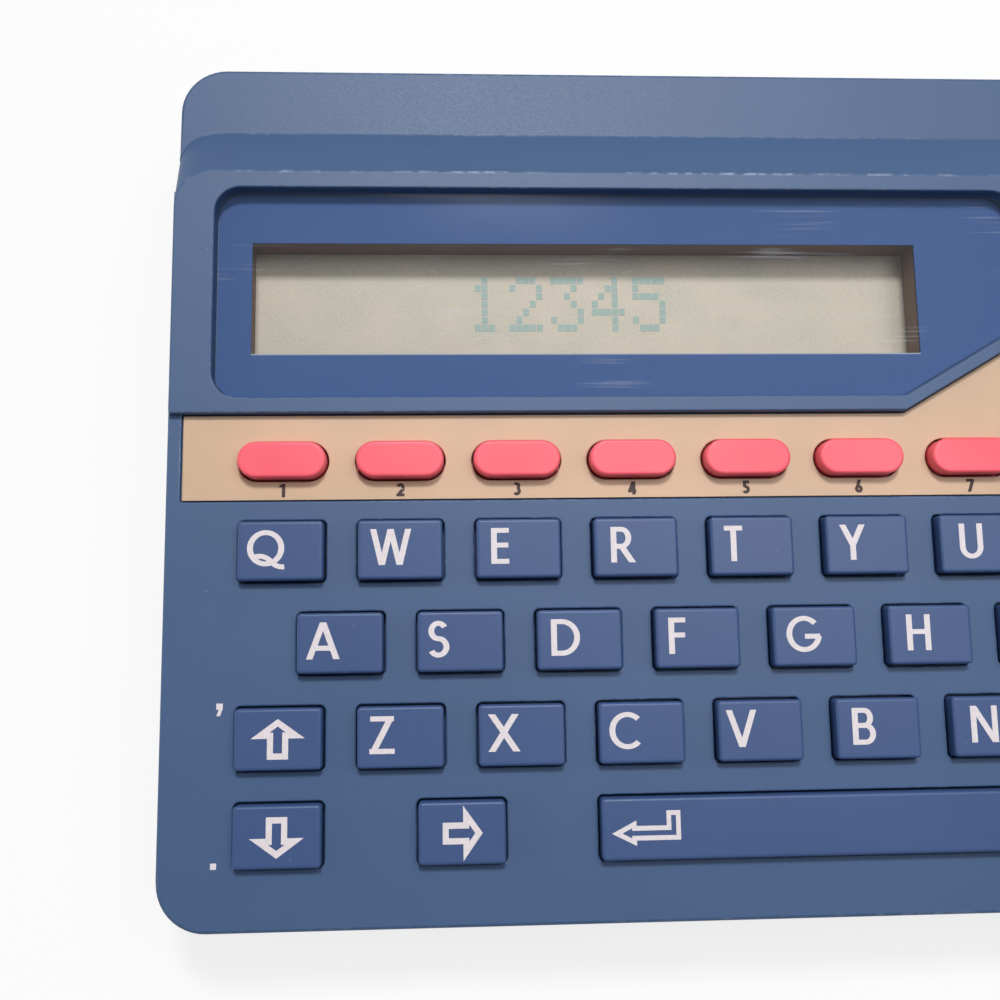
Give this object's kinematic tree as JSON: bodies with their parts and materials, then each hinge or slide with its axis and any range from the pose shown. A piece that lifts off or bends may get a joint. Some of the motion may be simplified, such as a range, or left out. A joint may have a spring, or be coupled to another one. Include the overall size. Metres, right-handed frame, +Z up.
{
  "type": "handheld electronic dictionary",
  "caption": "Handheld electronic dictionary with a letter keyboard, red function buttons, a printed window over a one-line display, and a sliding battery door.",
  "frame": {"origin": "middle of the case on the surface that its feet stand on", "axes": "+Z up, +X to the user's right along the keyboard rows, +Y away from the user, towards the display and the battery bay"},
  "size_m": [0.134, 0.092, 0.0199],
  "materials": {
    "case": "satin moulded blue plastic",
    "window": "clear acrylic",
    "mask": "blue screen print behind the window",
    "display_frame": "dark brown plastic",
    "display": "grey-green liquid crystal glass",
    "connector": "layered conductive rubber",
    "plate": "champagne satin",
    "mat": "grey silicone rubber",
    "board": "green solder mask",
    "board_part": "black moulded packages",
    "cell": "printed steel jackets",
    "contact": "nickel-plated spring steel",
    "screw": "zinc-plated steel",
    "foot": "black rubber",
    "function_button": "coral silicone rubber",
    "key": "matte blue plastic",
    "legend": "white print",
    "label": "dark brown print",
    "display_dot": "grey-green dots"
  },
  "bodies": {
    "case": {"top_case": "case", "bottom_case": "case", "display_window": "window", "window_mask": "mask", "lcd_frame": "display_frame", "lcd_glass": "display", "lcd_connectors": "connector", "function_plate": "plate", "key_mat": "mat", "main_board": "board", "board_parts": "board_part", "battery_cells": "cell", "battery_contacts": "contact", "screws": "screw", "rubber_feet": "foot"},
    "door": {"battery_door": "case"},
    "function_button_1_body": {"function_button_1": "function_button"},
    "function_button_2_body": {"function_button_2": "function_button"},
    "function_button_3_body": {"function_button_3": "function_button"},
    "function_button_4_body": {"function_button_4": "function_button"},
    "function_button_5_body": {"function_button_5": "function_button"},
    "function_button_6_body": {"function_button_6": "function_button"},
    "function_button_7_body": {"function_button_7": "function_button"},
    "function_button_8_body": {"function_button_8": "function_button"},
    "function_button_9_body": {"function_button_9": "function_button"},
    "function_button_10_body": {"function_button_10": "function_button"},
    "key_q_body": {"key_q": "key"},
    "key_w_body": {"key_w": "key"},
    "key_e_body": {"key_e": "key"},
    "key_r_body": {"key_r": "key"},
    "key_t_body": {"key_t": "key"},
    "key_y_body": {"key_y": "key"},
    "key_u_body": {"key_u": "key"},
    "key_i_body": {"key_i": "key"},
    "key_o_body": {"key_o": "key"},
    "key_p_body": {"key_p": "key"},
    "key_a_body": {"key_a": "key"},
    "key_s_body": {"key_s": "key"},
    "key_d_body": {"key_d": "key"},
    "key_f_body": {"key_f": "key"},
    "key_g_body": {"key_g": "key"},
    "key_h_body": {"key_h": "key"},
    "key_j_body": {"key_j": "key"},
    "key_k_body": {"key_k": "key"},
    "key_l_body": {"key_l": "key"},
    "key_z_body": {"key_z": "key"},
    "key_x_body": {"key_x": "key"},
    "key_c_body": {"key_c": "key"},
    "key_v_body": {"key_v": "key"},
    "key_b_body": {"key_b": "key"},
    "key_n_body": {"key_n": "key"},
    "key_m_body": {"key_m": "key"},
    "up_arrow_key_body": {"up_arrow_key": "key"},
    "question_key_body": {"question_key": "key"},
    "star_key_body": {"star_key": "key"},
    "down_arrow_key_body": {"down_arrow_key": "key"},
    "right_arrow_key_body": {"right_arrow_key": "key"},
    "enter_key_body": {"enter_key": "key"},
    "left_arrow_key_body": {"left_arrow_key": "key"},
    "space_key_body": {"space_key": "key"}
  },
  "joints": [
    {"name": "battery_door_slide", "type": "slide", "parent": "case", "child": "door", "axis": [0, 1, 0], "range_m": [0, 0.0145]},
    {"name": "function_button_1_press", "type": "slide", "parent": "case", "child": "function_button_1_body", "axis": [0, 0.061, -0.9981], "range_m": [0, 0.0009], "stiffness_N_per_m": 600},
    {"name": "function_button_2_press", "type": "slide", "parent": "case", "child": "function_button_2_body", "axis": [0, 0.061, -0.9981], "range_m": [0, 0.0009], "stiffness_N_per_m": 600},
    {"name": "function_button_3_press", "type": "slide", "parent": "case", "child": "function_button_3_body", "axis": [0, 0.061, -0.9981], "range_m": [0, 0.0009], "stiffness_N_per_m": 600},
    {"name": "function_button_4_press", "type": "slide", "parent": "case", "child": "function_button_4_body", "axis": [0, 0.061, -0.9981], "range_m": [0, 0.0009], "stiffness_N_per_m": 600},
    {"name": "function_button_5_press", "type": "slide", "parent": "case", "child": "function_button_5_body", "axis": [0, 0.061, -0.9981], "range_m": [0, 0.0009], "stiffness_N_per_m": 600},
    {"name": "function_button_6_press", "type": "slide", "parent": "case", "child": "function_button_6_body", "axis": [0, 0.061, -0.9981], "range_m": [0, 0.0009], "stiffness_N_per_m": 600},
    {"name": "function_button_7_press", "type": "slide", "parent": "case", "child": "function_button_7_body", "axis": [0, 0.061, -0.9981], "range_m": [0, 0.0009], "stiffness_N_per_m": 600},
    {"name": "function_button_8_press", "type": "slide", "parent": "case", "child": "function_button_8_body", "axis": [0, 0.061, -0.9981], "range_m": [0, 0.0009], "stiffness_N_per_m": 600},
    {"name": "function_button_9_press", "type": "slide", "parent": "case", "child": "function_button_9_body", "axis": [0, 0.061, -0.9981], "range_m": [0, 0.0009], "stiffness_N_per_m": 600},
    {"name": "function_button_10_press", "type": "slide", "parent": "case", "child": "function_button_10_body", "axis": [0, 0.061, -0.9981], "range_m": [0, 0.0009], "stiffness_N_per_m": 600},
    {"name": "key_q_press", "type": "slide", "parent": "case", "child": "key_q_body", "axis": [0, 0.061, -0.9981], "range_m": [0, 0.0009], "stiffness_N_per_m": 600},
    {"name": "key_w_press", "type": "slide", "parent": "case", "child": "key_w_body", "axis": [0, 0.061, -0.9981], "range_m": [0, 0.0009], "stiffness_N_per_m": 600},
    {"name": "key_e_press", "type": "slide", "parent": "case", "child": "key_e_body", "axis": [0, 0.061, -0.9981], "range_m": [0, 0.0009], "stiffness_N_per_m": 600},
    {"name": "key_r_press", "type": "slide", "parent": "case", "child": "key_r_body", "axis": [0, 0.061, -0.9981], "range_m": [0, 0.0009], "stiffness_N_per_m": 600},
    {"name": "key_t_press", "type": "slide", "parent": "case", "child": "key_t_body", "axis": [0, 0.061, -0.9981], "range_m": [0, 0.0009], "stiffness_N_per_m": 600},
    {"name": "key_y_press", "type": "slide", "parent": "case", "child": "key_y_body", "axis": [0, 0.061, -0.9981], "range_m": [0, 0.0009], "stiffness_N_per_m": 600},
    {"name": "key_u_press", "type": "slide", "parent": "case", "child": "key_u_body", "axis": [0, 0.061, -0.9981], "range_m": [0, 0.0009], "stiffness_N_per_m": 600},
    {"name": "key_i_press", "type": "slide", "parent": "case", "child": "key_i_body", "axis": [0, 0.061, -0.9981], "range_m": [0, 0.0009], "stiffness_N_per_m": 600},
    {"name": "key_o_press", "type": "slide", "parent": "case", "child": "key_o_body", "axis": [0, 0.061, -0.9981], "range_m": [0, 0.0009], "stiffness_N_per_m": 600},
    {"name": "key_p_press", "type": "slide", "parent": "case", "child": "key_p_body", "axis": [0, 0.061, -0.9981], "range_m": [0, 0.0009], "stiffness_N_per_m": 600},
    {"name": "key_a_press", "type": "slide", "parent": "case", "child": "key_a_body", "axis": [0, 0.061, -0.9981], "range_m": [0, 0.0009], "stiffness_N_per_m": 600},
    {"name": "key_s_press", "type": "slide", "parent": "case", "child": "key_s_body", "axis": [0, 0.061, -0.9981], "range_m": [0, 0.0009], "stiffness_N_per_m": 600},
    {"name": "key_d_press", "type": "slide", "parent": "case", "child": "key_d_body", "axis": [0, 0.061, -0.9981], "range_m": [0, 0.0009], "stiffness_N_per_m": 600},
    {"name": "key_f_press", "type": "slide", "parent": "case", "child": "key_f_body", "axis": [0, 0.061, -0.9981], "range_m": [0, 0.0009], "stiffness_N_per_m": 600},
    {"name": "key_g_press", "type": "slide", "parent": "case", "child": "key_g_body", "axis": [0, 0.061, -0.9981], "range_m": [0, 0.0009], "stiffness_N_per_m": 600},
    {"name": "key_h_press", "type": "slide", "parent": "case", "child": "key_h_body", "axis": [0, 0.061, -0.9981], "range_m": [0, 0.0009], "stiffness_N_per_m": 600},
    {"name": "key_j_press", "type": "slide", "parent": "case", "child": "key_j_body", "axis": [0, 0.061, -0.9981], "range_m": [0, 0.0009], "stiffness_N_per_m": 600},
    {"name": "key_k_press", "type": "slide", "parent": "case", "child": "key_k_body", "axis": [0, 0.061, -0.9981], "range_m": [0, 0.0009], "stiffness_N_per_m": 600},
    {"name": "key_l_press", "type": "slide", "parent": "case", "child": "key_l_body", "axis": [0, 0.061, -0.9981], "range_m": [0, 0.0009], "stiffness_N_per_m": 600},
    {"name": "key_z_press", "type": "slide", "parent": "case", "child": "key_z_body", "axis": [0, 0.061, -0.9981], "range_m": [0, 0.0009], "stiffness_N_per_m": 600},
    {"name": "key_x_press", "type": "slide", "parent": "case", "child": "key_x_body", "axis": [0, 0.061, -0.9981], "range_m": [0, 0.0009], "stiffness_N_per_m": 600},
    {"name": "key_c_press", "type": "slide", "parent": "case", "child": "key_c_body", "axis": [0, 0.061, -0.9981], "range_m": [0, 0.0009], "stiffness_N_per_m": 600},
    {"name": "key_v_press", "type": "slide", "parent": "case", "child": "key_v_body", "axis": [0, 0.061, -0.9981], "range_m": [0, 0.0009], "stiffness_N_per_m": 600},
    {"name": "key_b_press", "type": "slide", "parent": "case", "child": "key_b_body", "axis": [0, 0.061, -0.9981], "range_m": [0, 0.0009], "stiffness_N_per_m": 600},
    {"name": "key_n_press", "type": "slide", "parent": "case", "child": "key_n_body", "axis": [0, 0.061, -0.9981], "range_m": [0, 0.0009], "stiffness_N_per_m": 600},
    {"name": "key_m_press", "type": "slide", "parent": "case", "child": "key_m_body", "axis": [0, 0.061, -0.9981], "range_m": [0, 0.0009], "stiffness_N_per_m": 600},
    {"name": "up_arrow_key_press", "type": "slide", "parent": "case", "child": "up_arrow_key_body", "axis": [0, 0.061, -0.9981], "range_m": [0, 0.0009], "stiffness_N_per_m": 600},
    {"name": "question_key_press", "type": "slide", "parent": "case", "child": "question_key_body", "axis": [0, 0.061, -0.9981], "range_m": [0, 0.0009], "stiffness_N_per_m": 600},
    {"name": "star_key_press", "type": "slide", "parent": "case", "child": "star_key_body", "axis": [0, 0.061, -0.9981], "range_m": [0, 0.0009], "stiffness_N_per_m": 600},
    {"name": "down_arrow_key_press", "type": "slide", "parent": "case", "child": "down_arrow_key_body", "axis": [0, 0.061, -0.9981], "range_m": [0, 0.0009], "stiffness_N_per_m": 600},
    {"name": "right_arrow_key_press", "type": "slide", "parent": "case", "child": "right_arrow_key_body", "axis": [0, 0.061, -0.9981], "range_m": [0, 0.0009], "stiffness_N_per_m": 600},
    {"name": "enter_key_press", "type": "slide", "parent": "case", "child": "enter_key_body", "axis": [0, 0.061, -0.9981], "range_m": [0, 0.0009], "stiffness_N_per_m": 600},
    {"name": "left_arrow_key_press", "type": "slide", "parent": "case", "child": "left_arrow_key_body", "axis": [0, 0.061, -0.9981], "range_m": [0, 0.0009], "stiffness_N_per_m": 600},
    {"name": "space_key_press", "type": "slide", "parent": "case", "child": "space_key_body", "axis": [0, 0.061, -0.9981], "range_m": [0, 0.0009], "stiffness_N_per_m": 600}
  ]
}
